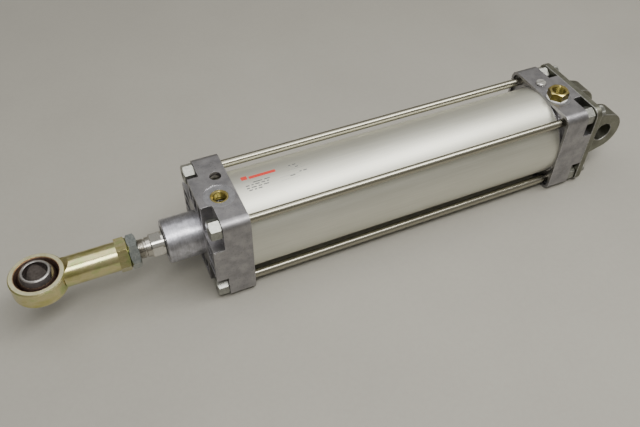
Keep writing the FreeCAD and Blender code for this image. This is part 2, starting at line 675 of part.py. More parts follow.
def eye_sphere(name, diameter):
    solid = doc.addObject("Part::Sphere", name)
    bind(solid, Radius=f"({diameter}) / 2")
    place(solid, EYE_CENTRE)
    return solid


def liner_flare(name, turn):
    """Cone that opens one mouth of the liner, so that much of the ball shows."""
    cone = doc.addObject("Part::Cone", name)
    bind(cone, Radius1="ball_dia / 2 - 2", Radius2="liner_dia / 2 - 0.8",
         Height="eye_head_width / 2 - liner_race / 2")
    sign = "-" if turn else ""
    place(cone, EYE_CENTRE, "0", f"{sign}liner_race / 2", Rotation(Vector(1, 0, 0), turn))
    return cone


def spherical_bearing():
    """Ball with its bore, and the bronze liner that it turns in."""
    zone = doc.addObject("Part::Common", "ball_zone")
    zone.Base = eye_sphere("ball_sphere", "ball_dia")
    zone.Tool = upright_cylinder("ball_slab", "ball_dia + 2", "ball_width")
    ball = doc.addObject("Part::Cut", "ball_cut")
    ball.Base = zone
    ball.Tool = upright_cylinder("ball_bore", "eye_bore", "ball_width + 2")
    keep(ball, "rod_end_ball")
    socket = doc.addObject("Part::Cut", "liner_socket_cut")
    socket.Base = upright_cylinder("liner_blank", "liner_dia", "eye_head_width - 1")
    socket.Tool = eye_sphere("liner_socket", "ball_dia + 2 * seat_gap")
    flares = [liner_flare("liner_flare_top", 0), liner_flare("liner_flare_bottom", 180)]
    mouths = doc.addObject("Part::MultiFuse", "liner_mouths")
    mouths.Shapes = flares
    liner = doc.addObject("Part::Cut", "liner_cut")
    liner.Base = socket
    liner.Tool = mouths
    keep(liner, "rod_end_liner")


# ---------------------------------------------------------------- rear clevis

def draw_lug(sketch):
    """Side view of a lug: a round eye with straight flanks down to the plate."""
    base_x = value_of("clevis_reach - clevis_plate + 1")
    base_z = value_of("lug_base_half")
    radius = value_of("lug_radius")
    corner = math.atan2(base_z, base_x) + math.acos(radius / math.hypot(base_x, base_z))
    touch = Vector(radius * math.cos(corner), radius * math.sin(corner), 0)
    lower = Vector(touch.x, -touch.y, 0)
    base, base_low = Vector(base_x, base_z, 0), Vector(base_x, -base_z, 0)
    circle = Part.Circle(Vector(0, 0, 0), Vector(0, 0, 1), radius)
    sketch.addGeometry(Part.ArcOfCircle(circle, corner, 2 * math.pi - corner), False)
    sketch.addGeometry(Part.LineSegment(lower, base_low), False)
    sketch.addGeometry(Part.LineSegment(base_low, base), False)
    sketch.addGeometry(Part.LineSegment(base, touch), False)
    sketch.addConstraint(Sketcher.Constraint("Tangent", 0, 2, 1, 1))
    sketch.addConstraint(Sketcher.Constraint("Coincident", 1, 2, 2, 1))
    sketch.addConstraint(Sketcher.Constraint("Coincident", 2, 2, 3, 1))
    sketch.addConstraint(Sketcher.Constraint("Tangent", 3, 2, 0, 1))
    sketch.addConstraint(Sketcher.Constraint("Coincident", 0, 3, -1, 1))
    number = sketch.addConstraint(Sketcher.Constraint("Radius", 0, radius))
    sketch.setExpression(f"Constraints[{number}]", bound("lug_radius"))
    pin_point(sketch, 2, 1, "clevis_reach - clevis_plate + 1", "-lug_base_half")
    pin_point(sketch, 2, 2, "clevis_reach - clevis_plate + 1", "lug_base_half")


def rear_clevis():
    """Plate bolted to the rear cover with two lugs; the bore axis is the row's Y axis."""
    body = new_body("rear_clevis")
    plate = new_sketch(body, "YZ_Plane", "clevis_reach - clevis_plate")
    draw_rounded_square(plate, "(cover_side / 2)", "corner_round")
    pad(body, plate, "clevis_plate")
    lugs = new_sketch(body, "XZ_Plane")
    draw_lug(lugs)
    pad(body, lugs, "lug_span", both_ways=True)
    gap = new_sketch(body, "XZ_Plane")
    back, front = "-(lug_radius + 2)", "clevis_reach - clevis_plate"
    side = "(lug_base_half + 2)"
    draw_polygon(gap, [(back, f"-{side}"), (front, f"-{side}"), (front, side), (back, side)])
    pocket(body, gap, "lug_gap", both_ways=True)
    bore = new_sketch(body, "XZ_Plane")
    draw_circle(bore, "0", "0", "clevis_bore")
    pocket(body, bore, "lug_span + 4", both_ways=True)
    recess = new_sketch(body, "YZ_Plane", "clevis_reach")
    draw_circle(recess, "0", "0", "pilot_dia + 2 * free_gap")
    pocket(body, recess, "pilot_height + free_gap")
    holes = new_sketch(body, "YZ_Plane", "clevis_reach")
    for y, z in corner_points().values():
        draw_circle(holes, y, z, "tie_rod_dia + 1")
    pocket(body, holes, "clevis_plate")
    keep(body, "rear_clevis")


def clevis_bolt(name):
    """Socket head screw from the lug side through the plate; the station is the head's seat."""
    body = new_body(name)
    head = new_sketch(body, "YZ_Plane")
    draw_circle(head, "0", "0", "bolt_head_dia")
    pad(body, head, "bolt_head", backwards=True)
    socket = new_sketch(body, "YZ_Plane", "-bolt_head")
    draw_polygon(socket, hexagon("bolt_socket_flats"))
    pocket(body, socket, "bolt_socket", backwards=True)
    shank = new_sketch(body, "YZ_Plane")
    draw_circle(shank, "0", "0", "tie_rod_dia")
    pad(body, shank, "bolt_length")
    return body


# ---------------------------------------------------------------- ports and cushion screws

def front_port_bush():
    """Brass reducing bush; its rim is flush with the spot face of the front port."""
    top = "-port_spotface"
    outer = "port_dia / 2 - seat_gap"
    inner = "bush_bore / 2"
    rim = "bush_rim_dia / 2 - seat_gap"
    corners = [(f"{top} - 12.5", inner), (f"{top} - 12.5", f"{outer} - 1"), (f"{top} - 11.5", outer),
               (f"{top} - bush_rim", outer), (f"{top} - bush_rim", rim), (top, rim),
               (top, f"{inner} + 1.3"), (f"{top} - 1.3", inner)]
    body = turned("port_bush_front", corners, upright=True)
    place(body, f"{FRONT_SEAT} + front_port_reach", "port_offset", "cover_side / 2")
    keep(body, "port_bush_front")


def rear_port_adaptor():
    """Hexagon port adaptor on a sealing washer, screwed into the rear cover."""
    washer = turned("port_washer_rear", ring_corners(
        "-port_spotface", "-port_spotface + washer_thickness", "port_dia / 2 + free_gap",
        "washer_dia / 2"), upright=True)
    seat = "(washer_thickness - port_spotface + 0.05)"
    body = new_body("port_adaptor_rear")
    outline = new_sketch(body, "XY_Plane", seat)
    draw_polygon(outline, hexagon("adaptor_flats", 12))
    pad(body, outline, "adaptor_height")
    stub = new_sketch(body, "XY_Plane", seat)
    draw_circle(stub, "0", "0", "port_dia - 2 * seat_gap")
    pad(body, stub, "port_depth - 1", backwards=True)
    top = f"({seat} + adaptor_height)"
    reach = "(adaptor_flats / 2 / cos(30 deg) + 1)"
    edge = "(adaptor_flats / 2 - 0.3)"
    bevel = [(edge, top), (reach, top), (reach, f"{top} - 0.55 * ({reach} - {edge})")]
    turn_profile(body, "PartDesign::Groove", "XZ_Plane", bevel, "V_Axis")
    bore = [("0", f"{top} + 1"), ("adaptor_bore / 2 + 2.2", f"{top} + 1"),
            ("adaptor_bore / 2", f"{top} - 1.2"), ("adaptor_bore / 2", f"{top} - 12"),
            ("port_passage / 2 - 1", f"{top} - 14"), ("port_passage / 2 - 1", f"{seat} - port_depth"),
            ("0", f"{seat} - port_depth")]
    turn_profile(body, "PartDesign::Groove", "XZ_Plane", bore, "V_Axis")
    for item, label in ((washer, "port_washer_rear"), (body, "port_adaptor_rear")):
        place(item, f"{REAR_SEAT} - rear_port_reach", "port_offset", "cover_side / 2")
        keep(item, label)


def cushion_screw(end, station, head_top):
    """Slotted throttle screw with an O-ring on its stem."""
    body = turned(f"cushion_screw_{end}", [
        ("0", "0"), ("0", "needle_head_dia / 2 - 0.8"), ("-0.8", "needle_head_dia / 2"),
        ("-needle_head_length", "needle_head_dia / 2"), ("-needle_head_length", "needle_dia / 2"),
        ("-needle_head_length - 4.5", "needle_dia / 2"), ("-needle_head_length - 4.5", "3"),
        ("-needle_head_length - 7.5", "3"), ("-needle_head_length - 7.5", "needle_dia / 2"),
        ("-needle_head_length - 14", "needle_dia / 2"),
        ("-needle_head_length - 18", "needle_seat_dia / 4"), ("-needle_head_length - 18", "0")],
        upright=True)
    slot = new_sketch(body, "XY_Plane")
    side = "(needle_head_dia / 2 + 1)"
    draw_polygon(slot, [(f"-{side}", "-1"), (side, "-1"), (side, "1"), (f"-{side}", "1")])
    pocket(body, slot, "2.4")
    place(body, station, "-needle_offset", head_top)
    keep(body, f"cushion_screw_{end}")
    o_ring(f"cushion_screw_seal_{end}", station, "(3 + needle_dia / 2) / 2 + 0.1", "0.7 - seat_gap",
           "-needle_offset", f"{head_top} - needle_head_length - 6", upright=True)


def cushion_screws():
    cushion_screw("front", f"({FRONT_SEAT} + front_needle_reach)",
                  "(cover_side / 2 - needle_pocket_depth + needle_head_length + 0.5)")
    cushion_screw("rear", f"({REAR_SEAT} - rear_needle_reach)", "(cover_side / 2 + needle_lift)")


# ---------------------------------------------------------------- build, check and write

def check_document():
    """Stop if anything failed, or if a cut removed nothing."""
    for item in doc.Objects:
        if {"Invalid", "Error"} & set(item.State):
            raise RuntimeError(f"{item.Name} failed: {item.State}")
        if item.TypeId in ("PartDesign::Pocket", "PartDesign::Groove"):
            if item.Shape.Volume > item.BaseFeature.Shape.Volume - 0.01:
                raise RuntimeError(f"{item.Name} cuts nothing")
    for node in nodes:
        if node.Shape.isNull() or not node.Shape.isValid():
            raise RuntimeError(f"{node.Label} has no valid shape")


def write_nodes():
    os.makedirs("parts", exist_ok=True)
    for node in nodes:
        node.Shape.exportStep(f"parts/{node.Label}.step")
        print(f"{node.Label:24s} {len(node.Shape.Solids)} solid(s) {node.Shape.Volume / 1000:9.2f} cm3")


sheet = make_sheet()
front_cover()
rear_cover()
barrel()
tie_rods()
tie_rod_nuts()
barrel_seals()
rod_guide_housing()
rod_guide()
cushion_seal("cushion_seal_front", FRONT_SEAT, "+")
cushion_seal("cushion_seal_rear", REAR_SEAT, "-")
piston()
piston_rod()
cushion_spears()
rod_locknut()
rod_end_housing()
spherical_bearing()
rear_clevis()
corner_group("clevis_bolts", clevis_bolt, "clevis_reach - clevis_plate")
front_port_bush()
rear_port_adaptor()
cushion_screws()
doc.recompute()
check_document()
write_nodes()
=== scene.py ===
"""Looks of a pneumatic cylinder with tie rods, a rod eye and a rear clevis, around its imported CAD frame.

Axes: +X from the rear clevis to the rod eye, +Z up through the ports, metres throughout.
"""

import json
import math

import bmesh
import bpy
from mathutils import Euler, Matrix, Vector

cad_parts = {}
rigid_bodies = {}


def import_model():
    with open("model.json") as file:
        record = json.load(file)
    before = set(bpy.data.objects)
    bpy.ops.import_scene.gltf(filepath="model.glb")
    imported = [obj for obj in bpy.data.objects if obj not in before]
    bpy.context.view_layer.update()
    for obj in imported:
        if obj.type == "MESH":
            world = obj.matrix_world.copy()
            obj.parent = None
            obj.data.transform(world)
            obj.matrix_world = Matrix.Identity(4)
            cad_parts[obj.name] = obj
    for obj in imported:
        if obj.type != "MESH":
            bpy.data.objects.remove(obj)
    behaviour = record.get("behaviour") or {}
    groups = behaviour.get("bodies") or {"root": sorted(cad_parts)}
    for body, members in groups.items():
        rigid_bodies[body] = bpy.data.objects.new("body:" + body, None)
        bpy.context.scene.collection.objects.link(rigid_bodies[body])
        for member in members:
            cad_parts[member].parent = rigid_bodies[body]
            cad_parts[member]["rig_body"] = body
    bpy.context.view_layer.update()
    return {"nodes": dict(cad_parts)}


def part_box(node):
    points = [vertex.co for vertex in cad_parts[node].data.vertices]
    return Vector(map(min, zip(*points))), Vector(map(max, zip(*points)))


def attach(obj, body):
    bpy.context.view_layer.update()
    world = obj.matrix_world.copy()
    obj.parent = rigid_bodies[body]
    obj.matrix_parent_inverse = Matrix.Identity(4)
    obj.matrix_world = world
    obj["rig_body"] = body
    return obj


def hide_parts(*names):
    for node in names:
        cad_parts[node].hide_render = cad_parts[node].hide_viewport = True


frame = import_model()
nodes = frame["nodes"]

MM = 0.001
TURN = 2 * math.pi
ROUND = 144                  # points round a turned piece; a multiple of 24, so flats meet on a point
SLIM_ROUND = 48              # points round a tie rod
MERGE = 1e-7                 # points closer than this are one point
CHAMFER_SLOPE = 0.577        # a nut's corners are cut back at 30 degrees
HEX_FACE = 0.475             # radius of a nut's flat end face, as a share of its width across flats
M12_PITCH = 1.75 * MM
PORT_PITCH = 1.8 * MM
PORT_THREAD = 1.0 * MM       # depth of a port thread
ADAPTOR_STEM = 10.4 * MM     # radius of the rear adaptor under its hexagon
FLOOR_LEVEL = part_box("front_cover")[0].z
finish = {}


# ---------------------------------------------------------------- materials

class Paint:
    """Builds one procedural material; positions are the piece's own, so a pattern moves with it."""

    def __init__(self, name, **shader_values):
        self.material = bpy.data.materials.new(name)
        self.material.use_nodes = True
        self.tree = self.material.node_tree
        self.shader = self.tree.nodes["Principled BSDF"]
        self.place = self.add("ShaderNodeTexCoord").outputs["Object"]
        for socket, value in shader_values.items():
            self.shader.inputs[socket.replace("_", " ")].default_value = value
        finish[name] = self.material

    def add(self, kind, **settings):
        """A new shader node with these settings."""
        node = self.tree.nodes.new(kind)
        for key, value in settings.items():
            setattr(node, key, value)
        return node

    def feed(self, socket, value):
        """Links a pattern to a socket, or sets the socket to a plain value."""
        if isinstance(value, bpy.types.NodeSocket):
            self.tree.links.new(value, socket)
        else:
            socket.default_value = value

    def stretched(self, stretch):
        """Object coordinates scaled along each axis; a small scale draws a pattern out."""
        scaling = self.add("ShaderNodeMapping")
        self.feed(scaling.inputs["Vector"], self.place)
        scaling.inputs["Scale"].default_value = stretch
        return scaling.outputs["Vector"]

    def noise(self, size, detail=4.0, stretch=(1, 1, 1), roughness=0.55):
        """Cloudy pattern with blotches about this size, in metres."""
        pattern = self.add("ShaderNodeTexNoise")
        self.feed(pattern.inputs["Vector"], self.stretched(stretch))
        pattern.inputs["Scale"].default_value = 1 / size
        pattern.inputs["Detail"].default_value = detail
        pattern.inputs["Roughness"].default_value = roughness
        return pattern.outputs["Fac"]

    def specks(self, size):
        """Distance to scattered points about this far apart."""
        pattern = self.add("ShaderNodeTexVoronoi")
        self.feed(pattern.inputs["Vector"], self.place)
        pattern.inputs["Scale"].default_value = 1 / size
        return pattern.outputs["Distance"]

    def ramp(self, factor, *stops):
        """Colours, or grey levels, at positions from 0 to 1."""
        node = self.add("ShaderNodeValToRGB")
        self.feed(node.inputs["Fac"], factor)
        while len(node.color_ramp.elements) < len(stops):
            node.color_ramp.elements.new(0.5)
        for element, (position, colour) in zip(node.color_ramp.elements, stops):
            element.position = position
            element.color = colour if isinstance(colour, tuple) else (colour, colour, colour, 1)
        return node.outputs["Color"]

    def blend(self, factor, first, second, mode="MIX"):
        """Two colours or patterns mixed by a share from 0 to 1."""
        node = self.add("ShaderNodeMix", data_type="RGBA", blend_type=mode)
        self.feed(node.inputs[0], factor)
        self.feed(node.inputs[6], first)
        self.feed(node.inputs[7], second)
        return node.outputs[2]

    def fitted(self, value, low, high):
        """A pattern from 0 to 1 fitted between two levels."""
        node = self.add("ShaderNodeMapRange")
        self.feed(node.inputs["Value"], value)
        node.inputs["To Min"].default_value = low
        node.inputs["To Max"].default_value = high
        return node.outputs["Result"]

    def colour(self, value):
        """Base colour, from a pattern or a plain colour."""
        self.feed(self.shader.inputs["Base Color"], value)

    def roughness(self, value):
        """Roughness, from a pattern or a plain number."""
        self.feed(self.shader.inputs["Roughness"], value)

    def bump(self, *layers):
        """Layers of (height pattern, depth in metres), one on top of another."""
        normal = None
        for height, depth in layers:
            node = self.add("ShaderNodeBump")
            node.inputs["Distance"].default_value = depth
            self.feed(node.inputs["Height"], height)
            if normal is not None:
                self.feed(node.inputs["Normal"], normal)
            normal = node.outputs["Normal"]
        self.feed(self.shader.inputs["Normal"], normal)


def shade(red, green, blue):
    """An opaque colour, in linear light."""
    return (red, green, blue, 1)


def darker(colour, share):
    """The same colour with each channel times its share."""
    return shade(*(channel * part for channel, part in zip(colour, share)))


def casting(name, dark, light, rough, grain):
    """Die-cast metal: cloudy, slightly pitted, with fine scuffs."""
    paint = Paint(name, Metallic=1.0)
    clouds = paint.noise(18 * MM, detail=6)
    tone = paint.ramp(clouds, (0.36, dark), (0.64, light))
    spots = paint.ramp(paint.noise(2.2 * MM, detail=3), (0.33, 0.70), (0.45, 1.0))
    pits = paint.ramp(paint.specks(6 * MM), (0.05, 0.35), (0.11, 1.0))
    tone = paint.blend(0.6, tone, paint.blend(1.0, tone, spots, "MULTIPLY"))
    paint.colour(paint.blend(0.7, tone, paint.blend(1.0, tone, pits, "MULTIPLY")))
    scuffs = paint.noise(5 * MM, detail=8, roughness=0.7)
    paint.roughness(paint.fitted(scuffs, rough - 0.12, rough + 0.14))
    paint.bump((paint.noise(1.0 * MM, detail=3), grain), (paint.noise(9 * MM), 0.09 * MM))


def casting_edges(name, light, rough):
    """Edges of a casting, rubbed bright."""
    paint = Paint(name, Metallic=0.95)
    rubbed = paint.noise(3.5 * MM, detail=6, roughness=0.7)
    dull = darker(light, (0.55, 0.55, 0.57))
    paint.colour(paint.ramp(rubbed, (0.40, dull), (0.58, light)))
    paint.roughness(paint.fitted(rubbed, rough + 0.12, rough - 0.1))
    paint.bump((paint.noise(1.4 * MM), 0.03 * MM))


def turned_casting(name, stretch, dark, light):
    """A machined face or boss: faint tool lines and cloudy glints."""
    paint = Paint(name, Metallic=1.0)
    lines = paint.noise(1.1 * MM, detail=2, stretch=stretch)
    clouds = paint.noise(9 * MM, detail=8, roughness=0.7)
    tone = paint.ramp(clouds, (0.36, dark), (0.62, light))
    paint.colour(paint.blend(0.14, tone, paint.ramp(lines, (0.3, 0.25), (0.7, 0.95))))
    paint.roughness(paint.fitted(paint.noise(5 * MM, detail=9, roughness=0.75), 0.20, 0.46))
    paint.bump((lines, 0.02 * MM), (paint.noise(7 * MM, detail=6), 0.16 * MM))


def drawn_metal(name, base, rough, spread=0.05, stretch=(0.02, 1, 1), size=1.2 * MM, bump=0.003 * MM):
    """Drawn or turned bar: fine streaks, long along each direction that stretch makes small."""
    paint = Paint(name, Metallic=1.0)
    streaks = paint.noise(size, detail=5, stretch=stretch)
    dull = darker(base, (0.86, 0.85, 0.83))
    paint.colour(paint.ramp(streaks, (0.3, dull), (0.7, base)))
    paint.roughness(paint.fitted(streaks, rough - spread, rough + spread))
    paint.bump((streaks, bump))


def anodised():
    """Satin anodised tube with faint lines along it and a soft cloudiness."""
    paint = Paint("barrel_anodised", Metallic=0.9)
    streaks = paint.noise(1.6 * MM, detail=6, stretch=(0.02, 1, 1))
    clouds = paint.noise(60 * MM, detail=3, stretch=(0.4, 1, 1))
    dark = shade(0.635, 0.63, 0.53)
    light = shade(0.715, 0.71, 0.61)
    tone = paint.ramp(clouds, (0.3, dark), (0.7, light))
    paint.colour(paint.blend(0.22, tone, paint.ramp(streaks, (0.3, 0.62), (0.7, 0.9))))
    paint.roughness(paint.fitted(streaks, 0.40, 0.50))
    paint.bump((streaks, 0.006 * MM), (paint.noise(0.35 * MM, detail=2), 0.004 * MM))


def zinc(name, tone, shadow, rough, metallic=1.0):
    """Plated steel with a cloudy, slightly tinted coat."""
    paint = Paint(name, Metallic=metallic)
    clouds = paint.noise(4 * MM, detail=6, roughness=0.65)
    paint.colour(paint.ramp(clouds, (0.32, shadow), (0.66, tone)))
    paint.roughness(paint.fitted(paint.noise(1.5 * MM, detail=5), rough - 0.1, rough + 0.12))
    paint.bump((paint.noise(0.9 * MM, detail=3), 0.02 * MM))


def yellow_zinc():
    """Yellow chromate: olive and straw, with faint pink and green where the coat is thin."""
    paint = Paint("eye_yellow_zinc", Metallic=1.0)
    clouds = paint.noise(20 * MM, detail=5, stretch=(0.6, 1, 1))
    olive = shade(0.36, 0.40, 0.12)
    gold = shade(0.58, 0.54, 0.22)
    straw = shade(0.72, 0.65, 0.36)
    green = shade(0.54, 0.62, 0.26)
    pink = shade(0.74, 0.48, 0.34)
    tone = paint.ramp(clouds, (0.22, olive), (0.40, gold), (0.52, straw), (0.64, green), (0.78, pink))
    streaks = paint.noise(2.0 * MM, detail=6, stretch=(0.12, 1, 1))
    paint.colour(paint.blend(0.35, tone, paint.ramp(streaks, (0.3, 0.55), (0.7, 0.95)), "MULTIPLY"))
    paint.roughness(paint.fitted(paint.noise(3 * MM, detail=7), 0.15, 0.30))
    paint.bump((paint.noise(1.3 * MM, detail=3), 0.018 * MM), (streaks, 0.008 * MM))


def eye_face():
    """Machined ring faces of the rod eye: a creamy yellow coat, finely grained."""
    paint = Paint("eye_ring_face", Metallic=0.95)
    clouds = paint.noise(9 * MM, detail=5)
    paint.colour(paint.ramp(clouds, (0.3, shade(0.62, 0.60, 0.36)), (0.7, shade(0.82, 0.78, 0.54))))
    paint.roughness(paint.fitted(paint.noise(1.5 * MM, detail=6), 0.3, 0.5))
    paint.bump((paint.noise(0.5 * MM, detail=2), 0.02 * MM))


def brass(name, dark, light, rough):
    """Turned brass, a little tarnished."""
    paint = Paint(name, Metallic=1.0)
    clouds = paint.noise(7 * MM, detail=4)
    paint.colour(paint.ramp(clouds, (0.3, dark), (0.7, light)))
    paint.roughness(paint.fitted(paint.noise(3 * MM, detail=4), rough - 0.06, rough + 0.1))
    paint.bump((paint.noise(1.2 * MM), 0.012 * MM))


def moulded(name, dark, light, rough, sheen=0.0):
    """Rubber or plastic with a faint moulded grain."""
    paint = Paint(name, Metallic=0.0)
    clouds = paint.noise(3 * MM, detail=5)
    paint.colour(paint.ramp(clouds, (0.35, dark), (0.65, light)))
    paint.roughness(paint.fitted(clouds, rough - 0.08, rough + 0.08))
    paint.bump((paint.noise(0.5 * MM, detail=2), 0.03 * MM))
    paint.shader.inputs["Sheen Weight"].default_value = sheen


def ink(name, dark, light):
    """Printed ink, a little uneven where it wore."""
    paint = Paint(name, Metallic=0.0)
    wear = paint.noise(0.7 * MM, detail=6, roughness=0.7)
    paint.colour(paint.ramp(wear, (0.42, dark), (0.68, light)))
    paint.roughness(paint.fitted(wear, 0.4, 0.6))


def bench_top():
    """Pale, plain floor with the faintest cloudiness."""
    paint = Paint("floor_pale", Metallic=0.0)
    clouds = paint.noise(0.35, detail=5)
    fine = paint.noise(6 * MM, detail=6)
    dark = shade(0.33, 0.315, 0.275)
    light = shade(0.37, 0.355, 0.312)
    tone = paint.ramp(clouds, (0.3, dark), (0.7, light))
    paint.colour(paint.blend(0.12, tone, paint.ramp(fine, (0.3, 0.27), (0.7, 0.39))))
    paint.roughness(paint.fitted(fine, 0.5, 0.62))
    paint.bump((fine, 0.05 * MM))


def make_finishes():
    """Every finish by name; the names of the record's material slots are among them."""
    round_x = (1.0, 0.02, 0.02)
    flat_on_z = (1.0, 1.0, 0.02)
    turned_x = (1, 0.05, 0.05)
    casting("cover_casting", shade(0.275, 0.27, 0.285), shade(0.395, 0.385, 0.40), 0.40, 0.04 * MM)
    casting_edges("cover_edges", shade(0.84, 0.84, 0.87), 0.26)
    turned_casting("guide_aluminium", round_x, shade(0.31, 0.31, 0.35), shade(0.56, 0.56, 0.63))
    turned_casting("spot_machined", flat_on_z, shade(0.33, 0.33, 0.36), shade(0.50, 0.50, 0.54))
    casting("clevis_casting", shade(0.17, 0.17, 0.135), shade(0.26, 0.26, 0.215), 0.42, 0.05 * MM)
    casting_edges("clevis_edges", shade(0.46, 0.46, 0.43), 0.40)
    anodised()
    drawn_metal("tie_rod_steel", shade(0.42, 0.405, 0.335), 0.22)
    drawn_metal("rod_chrome", shade(0.74, 0.73, 0.70), 0.09, 0.03, turned_x, 0.8 * MM, 0.001 * MM)
    drawn_metal("rod_turned", shade(0.55, 0.53, 0.49), 0.22, 0.07, turned_x, 0.7 * MM, 0.004 * MM)
    zinc("nut_zinc", shade(0.36, 0.365, 0.335), shade(0.24, 0.245, 0.225), 0.30, 0.85)
    zinc("locknut_zinc", shade(0.56, 0.60, 0.59), shade(0.36, 0.40, 0.41), 0.22)
    zinc("screw_steel", shade(0.80, 0.79, 0.76), shade(0.56, 0.55, 0.53), 0.24, 0.8)
    zinc("piston_aluminium", shade(0.75, 0.75, 0.76), shade(0.6, 0.6, 0.61), 0.3)
    yellow_zinc()
    eye_face()
    # A dark copy of the screw steel: painted shade for the front cushion screw, deep in its hole.
    zinc("screw_painted_shade", shade(0.20, 0.19, 0.16), shade(0.09, 0.085, 0.07), 0.3)
    zinc("ball_steel", shade(0.24, 0.215, 0.22), shade(0.14, 0.125, 0.13), 0.12)
    # A darker copy of the liner's bronze: painted shade in the gap round the ball.
    zinc("race_painted_shade", shade(0.46, 0.34, 0.27), shade(0.24, 0.17, 0.14), 0.34)
    zinc("ball_face", shade(0.54, 0.52, 0.51), shade(0.38, 0.365, 0.36), 0.3)
    zinc("liner_bronze", shade(0.52, 0.36, 0.24), shade(0.34, 0.20, 0.13), 0.32)
    brass("port_brass", shade(0.47, 0.37, 0.10), shade(0.70, 0.60, 0.26), 0.22)
    # A dark copy of the brass: painted shade inside the port bores and on the rear adaptor's sides.
    brass("brass_painted_shade", shade(0.10, 0.085, 0.02), shade(0.26, 0.21, 0.06), 0.30)
    moulded("washer_nylon", shade(0.86, 0.86, 0.84), shade(0.94, 0.94, 0.92), 0.4)
    moulded("seal_polyurethane", shade(0.016, 0.017, 0.02), shade(0.03, 0.031, 0.035), 0.42)
    moulded("o_ring_rubber", shade(0.012, 0.012, 0.012), shade(0.022, 0.022, 0.022), 0.5, 0.1)
    moulded("wear_ring_plastic", shade(0.22, 0.16, 0.08), shade(0.3, 0.22, 0.12), 0.5)
    moulded("magnet_ferrite", shade(0.04, 0.04, 0.043), shade(0.07, 0.07, 0.075), 0.6)
    ink("print_red", shade(0.60, 0.02, 0.015), shade(0.72, 0.10, 0.07))
    ink("print_grey", shade(0.05, 0.055, 0.06), shade(0.30, 0.31, 0.31))
    ink("print_line", shade(0.30, 0.30, 0.30), shade(0.5, 0.5, 0.5))
    bench_top()


# ---------------------------------------------------------------- mesh helpers

def corner_radius(angle, flats, sides):
    """Distance from the axis to a polygon's side, at this angle from one of its corners."""
    step = TURN / sides
    return flats / 2 / math.cos(angle % step - step / 2)


def ring(station, radius, flats=None, sides=6, lean=0.0, lean_from=0.0, count=ROUND):
    """Points round the axis as (station, radius); flats cut the round, lean slopes the corners back."""
    points = []
    for index in range(count):
        reach = radius
        if flats:
            reach = min(radius, corner_radius(index * TURN / count, flats, sides))
        points.append((station - lean * max(0.0, reach - lean_from), reach))
    return points


def thread(start, end, radius, depth, pitch, rows=8, count=ROUND):
    """Rings of a screw thread between two stations; a negative depth cuts into a bore."""
    crest = 0.12
    flank = 0.76
    total = max(2, int(abs(end - start) / pitch * rows))
    rings = []
    for row in range(total + 1):
        station = start + (end - start) * row / total
        run_out = min(1.0, abs(station - start) / pitch, abs(end - station) / pitch)
        points = []
        for index in range(count):
            phase = (station / pitch - index / count) % 1.0
            groove = min(1.0, max(0.0, (abs(2 * phase - 1) - crest) / flank))
            points.append((station, radius - depth * groove * run_out))
        rings.append(points)
    return rings


def ring_bmesh(rings, centre, axis="X", first_angle=0.0, closed=False):
    """Skin over rings about an axis through centre; a radius of zero closes an end."""
    along = Vector((1, 0, 0)) if axis == "X" else Vector((0, 0, 1))
    across = Vector((0, 1, 0)) if axis == "X" else Vector((1, 0, 0))
    upwards = along.cross(across)
    mesh = bmesh.new()
    rows = []
    for points in rings:
        row = []
        for index, (station, radius) in enumerate(points):
            angle = first_angle + index * TURN / len(points)
            spoke = across * math.cos(angle) + upwards * math.sin(angle)
            row.append(mesh.verts.new(centre + along * station + spoke * radius))
        rows.append(row)
    pairs = list(zip(rows, rows[1:]))
    if closed:
        pairs.append((rows[-1], rows[0]))
    for low, high in pairs:
        for index in range(len(low)):
            after = (index + 1) % len(low)
            mesh.faces.new((low[index], low[after], high[after], high[index]))
    bmesh.ops.remove_doubles(mesh, verts=mesh.verts, dist=MERGE)
    bmesh.ops.recalc_face_normals(mesh, faces=mesh.faces)
    return mesh


def stand(name, mesh, node, finishes, sharp=28, stands_for=()):
    """Puts a finished bmesh in the scene as a piece that rides with a CAD node's body."""
    data = bpy.data.meshes.new(name)
    mesh.to_mesh(data)
    mesh.free()
    piece = bpy.data.objects.new(name, data)
    bpy.context.scene.collection.objects.link(piece)
    for each in finishes:
        data.materials.append(finish[each])
    data.shade_smooth()
    data.set_sharp_from_angle(angle=math.radians(sharp))
    weighted = piece.modifiers.new("even_shading", "WEIGHTED_NORMAL")
    weighted.keep_sharp = True
    weighted.weight = 80
    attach(piece, nodes[node]["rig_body"])
    if stands_for:
        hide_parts(*stands_for)
    return piece


def slot_of(node):
    """The record's material slot that a node uses."""
    return nodes[node].data.materials[0].name.split(".")[0]


def replace_node(node, mesh, finishes=None, sharp=28):
    """A better piece in place of one CAD node."""
    own = slot_of(node)
    return stand(node + "_look", mesh, node, finishes or [own], sharp, (node,))


def paint_faces(mesh, index, test):
    """Gives the faces that pass a test another of the piece's finishes."""
    for face in mesh.faces:
        if test(face):
            face.material_index = index


def join_into(target, source):
    """Adds one bmesh's geometry to another."""
    data = bpy.data.meshes.new("joining")
    source.to_mesh(data)
    source.free()
    target.from_mesh(data)
    bpy.data.meshes.remove(data)


